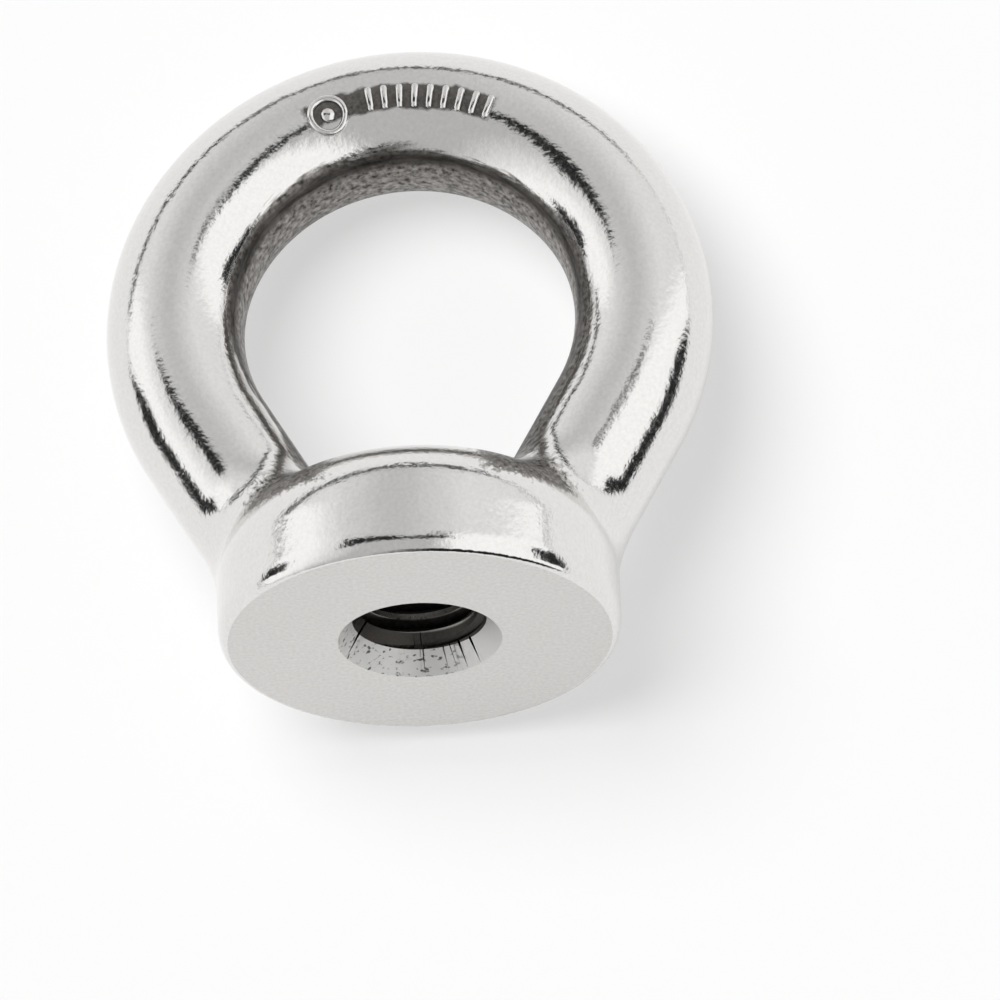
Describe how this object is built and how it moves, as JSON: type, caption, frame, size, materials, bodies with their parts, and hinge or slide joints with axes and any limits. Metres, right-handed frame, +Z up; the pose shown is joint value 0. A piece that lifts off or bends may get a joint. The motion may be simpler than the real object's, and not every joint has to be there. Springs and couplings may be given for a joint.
{
  "type": "lifting eye nut",
  "caption": "Lifting eye nut forged in one piece: a round-section eye that flows through rounded legs into a round base with a threaded hole.",
  "frame": {"origin": "centre of the flat seating face, on the axis of the thread", "axes": "+Z up the thread's axis from the seating face through the eye; the eye lies in the XZ plane, so +Y runs through its opening"},
  "size_m": [0.0456, 0.03, 0.049],
  "materials": {
    "stainless_steel": "forged stainless steel, polished bright, with a fine ground seating face"
  },
  "bodies": {
    "root": {"eye_nut": "stainless_steel"}
  },
  "joints": []
}
